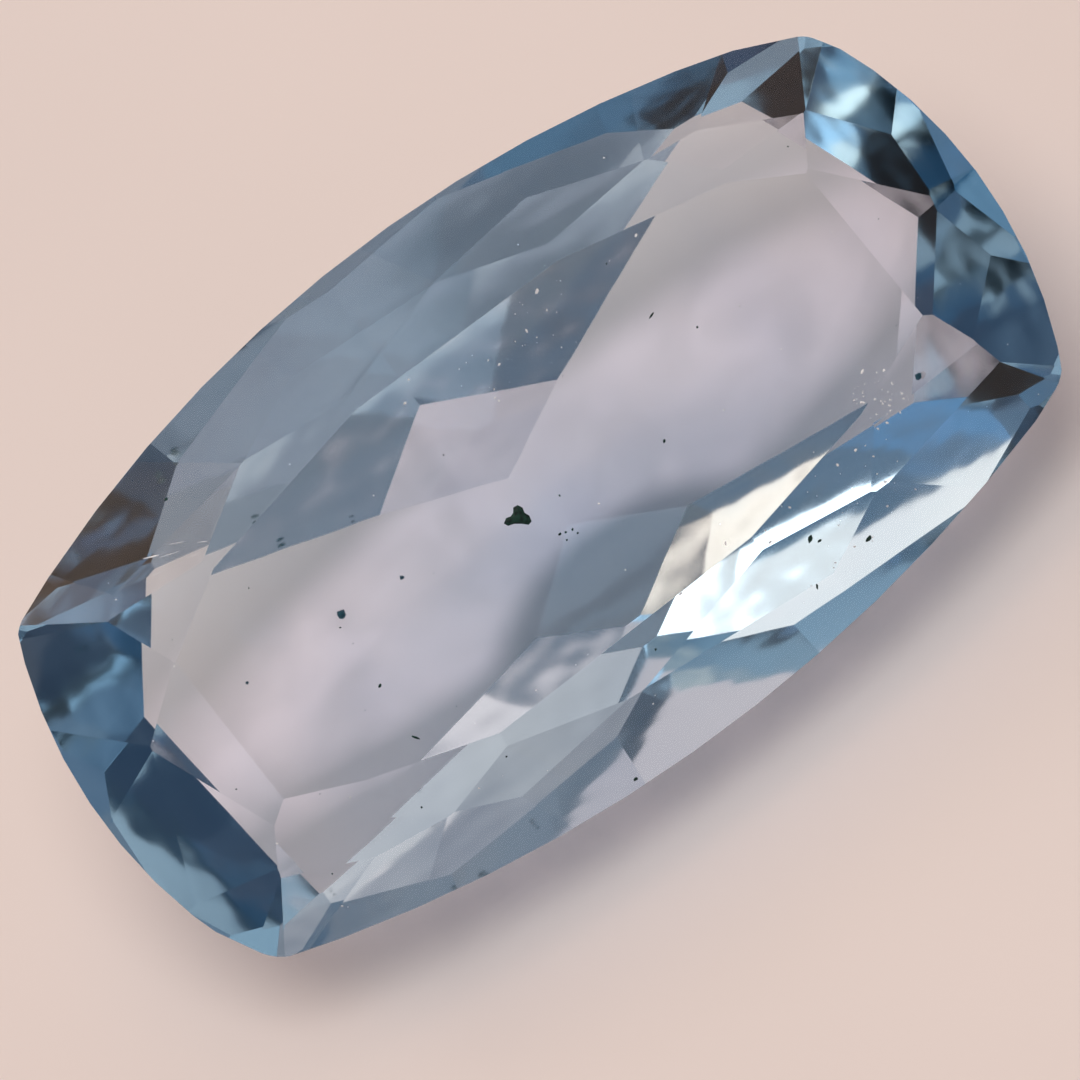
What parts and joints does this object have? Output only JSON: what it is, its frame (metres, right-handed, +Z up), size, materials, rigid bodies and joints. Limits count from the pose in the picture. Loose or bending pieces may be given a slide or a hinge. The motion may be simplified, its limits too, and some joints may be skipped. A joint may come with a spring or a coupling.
{
  "type": "faceted gemstone",
  "caption": "Elongated cushion-cut transparent fluorite gemstone with a large table, shallow stepped crown facets and a keeled faceted pavilion.",
  "frame": {"origin": "middle of the stone's footprint box, on the surface that it lies on", "axes": "+X along the stone's long axis, +Y to its back, +Z up; the table faces up and leans 32 degrees towards -Y"},
  "size_m": [0.018, 0.0086, 0.0071],
  "materials": {
    "fluorite": "polished, transparent pale blue"
  },
  "bodies": {
    "root": {"gemstone": "fluorite"}
  },
  "joints": []
}
